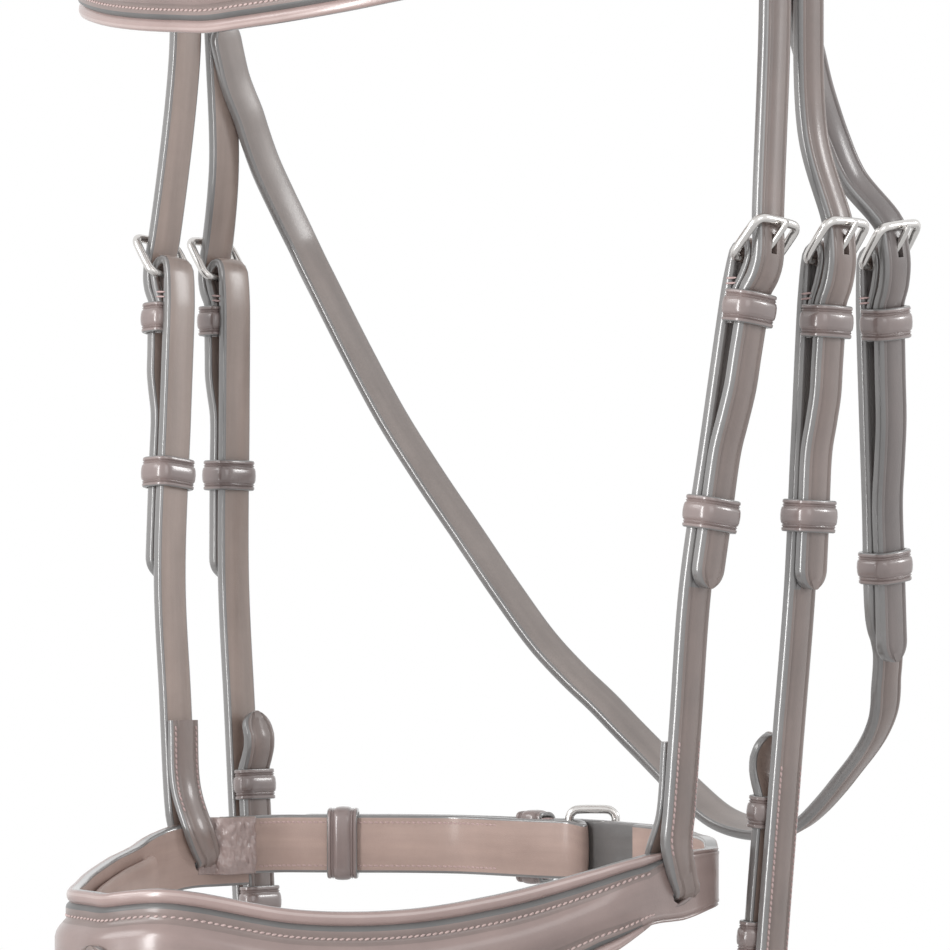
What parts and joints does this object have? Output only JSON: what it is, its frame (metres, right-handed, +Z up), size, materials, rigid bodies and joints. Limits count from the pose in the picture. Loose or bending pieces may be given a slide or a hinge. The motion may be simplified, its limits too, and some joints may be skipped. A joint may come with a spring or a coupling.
{
  "type": "flash noseband bridle",
  "caption": "Leather bridle with raised browband, flash noseband and hook stud cheekpieces, hanging as worn.",
  "frame": {"origin": "on the crown pad's flat underside, on the middle plane, where the bridle rests on the poll", "axes": "+Z up, -Y towards the nose, +X to the near (left) side of the horse"},
  "size_m": [0.2812, 0.2646, 0.4893],
  "materials": {
    "leather": "brown, satin grain",
    "lining": "soft, matte",
    "steel": "polished"
  },
  "bodies": {
    "bridle": {"headpiece": "leather", "noseband_headpiece": "leather", "crown_pad": "lining", "cheekpiece_near": "leather", "cheekpiece_off": "leather", "bit_keeper_upper_near": "leather", "bit_keeper_lower_near": "leather", "bit_keeper_upper_off": "leather", "bit_keeper_lower_off": "leather", "hook_stud_near": "steel", "hook_stud_off": "steel", "noseband_hanger_near": "leather", "noseband_hanger_off": "leather", "noseband_front": "leather", "noseband_padding": "lining", "jaw_strap": "leather", "jaw_billet": "leather", "flash_loop": "leather", "buckle_hanger_near": "steel", "keeper_hanger_near": "leather", "buckle_cheek_near": "steel", "keeper_cheek_near": "leather", "buckle_hanger_off": "steel", "keeper_hanger_off": "leather", "buckle_cheek_off": "steel", "keeper_cheek_off": "leather", "buckle_jaw": "steel", "keeper_jaw": "leather"},
    "browband": {"browband": "leather", "browband_padding": "lining", "browband_loop_near": "leather", "browband_loop_off": "leather"},
    "throatlatch": {"throatlatch": "leather", "throat_billet": "leather", "buckle_throat": "steel", "keeper_throat": "leather"},
    "flash_strap": {"flash_strap": "leather", "buckle_flash": "steel", "keeper_flash": "leather"},
    "tongue_hanger_near": {"tongue_hanger_near": "steel"},
    "tongue_cheek_near": {"tongue_cheek_near": "steel"},
    "tongue_hanger_off": {"tongue_hanger_off": "steel"},
    "tongue_cheek_off": {"tongue_cheek_off": "steel"},
    "tongue_throat": {"tongue_throat": "steel"},
    "tongue_jaw": {"tongue_jaw": "steel"},
    "tongue_flash": {"tongue_flash": "steel"},
    "runner_hanger_near": {"runner_hanger_near": "leather"},
    "runner_cheek_near": {"runner_cheek_near": "leather"},
    "runner_hanger_off": {"runner_hanger_off": "leather"},
    "runner_cheek_off": {"runner_cheek_off": "leather"},
    "runner_throat": {"runner_throat": "leather"},
    "runner_jaw": {"runner_jaw": "leather"},
    "runner_flash": {"runner_flash": "leather"}
  },
  "joints": [
    {"name": "browband_slide", "type": "slide", "parent": "bridle", "child": "browband", "axis": [0, 0, 1], "range_m": [-0.002, 0.004]},
    {"name": "throatlatch_swing", "type": "hinge", "parent": "bridle", "child": "throatlatch", "pos_m": [0, 0.0115, -0.0975], "axis": [1, 0, 0], "range_deg": [0, 15]},
    {"name": "flash_swing", "type": "hinge", "parent": "bridle", "child": "flash_strap", "pos_m": [0, -0.16523, -0.4125], "axis": [-1, 0, 0], "range_deg": [-11, 0]},
    {"name": "tongue_hinge_hanger_near", "type": "hinge", "parent": "bridle", "child": "tongue_hanger_near", "pos_m": [0.1235, -0.0123, -0.176], "axis": [0, 0.992, -0.1266], "range_deg": [0, 12]},
    {"name": "runner_slide_hanger_near", "type": "slide", "parent": "bridle", "child": "runner_hanger_near", "axis": [-0.0781, -0.1262, -0.9889], "range_m": [-0.01, 0.01]},
    {"name": "tongue_hinge_cheek_near", "type": "hinge", "parent": "bridle", "child": "tongue_cheek_near", "pos_m": [0.1277, 0.0178, -0.176], "axis": [0, 0.9993, -0.0368], "range_deg": [0, 12]},
    {"name": "runner_slide_cheek_near", "type": "slide", "parent": "bridle", "child": "runner_cheek_near", "axis": [-0.0302, -0.0368, -0.9989], "range_m": [-0.01, 0.01]},
    {"name": "tongue_hinge_hanger_off", "type": "hinge", "parent": "bridle", "child": "tongue_hanger_off", "pos_m": [-0.1235, -0.0123, -0.176], "axis": [0, -0.992, 0.1266], "range_deg": [0, 12]},
    {"name": "runner_slide_hanger_off", "type": "slide", "parent": "bridle", "child": "runner_hanger_off", "axis": [0.0781, -0.1262, -0.9889], "range_m": [-0.01, 0.01]},
    {"name": "tongue_hinge_cheek_off", "type": "hinge", "parent": "bridle", "child": "tongue_cheek_off", "pos_m": [-0.1277, 0.0178, -0.176], "axis": [0, -0.9993, 0.0368], "range_deg": [0, 12]},
    {"name": "runner_slide_cheek_off", "type": "slide", "parent": "bridle", "child": "runner_cheek_off", "axis": [0.0302, -0.0368, -0.9989], "range_m": [-0.01, 0.01]},
    {"name": "tongue_hinge_throat", "type": "hinge", "parent": "throatlatch", "child": "tongue_throat", "pos_m": [0.1265, 0.0465, -0.176], "axis": [0, 0.9945, 0.1047], "range_deg": [0, 12]},
    {"name": "runner_slide_throat", "type": "slide", "parent": "throatlatch", "child": "runner_throat", "axis": [-0.0444, 0.1046, -0.9935], "range_m": [-0.01, 0.01]},
    {"name": "tongue_hinge_jaw", "type": "hinge", "parent": "bridle", "child": "tongue_jaw", "pos_m": [-0.003, 0.049, -0.3625], "axis": [0, 0, 1], "range_deg": [0, 12]},
    {"name": "runner_slide_jaw", "type": "slide", "parent": "bridle", "child": "runner_jaw", "axis": [-0.7771, -0.6293, 0], "range_m": [-0.003, 0.003]},
    {"name": "tongue_hinge_flash", "type": "hinge", "parent": "flash_strap", "child": "tongue_flash", "pos_m": [0.084, -0.034, -0.45244], "axis": [0, -0.2911, -0.9567], "range_deg": [0, 12]},
    {"name": "runner_slide_flash", "type": "slide", "parent": "flash_strap", "child": "runner_flash", "axis": [-0.212, -0.9349, 0.2845], "range_m": [-0.006, 0.006]}
  ]
}
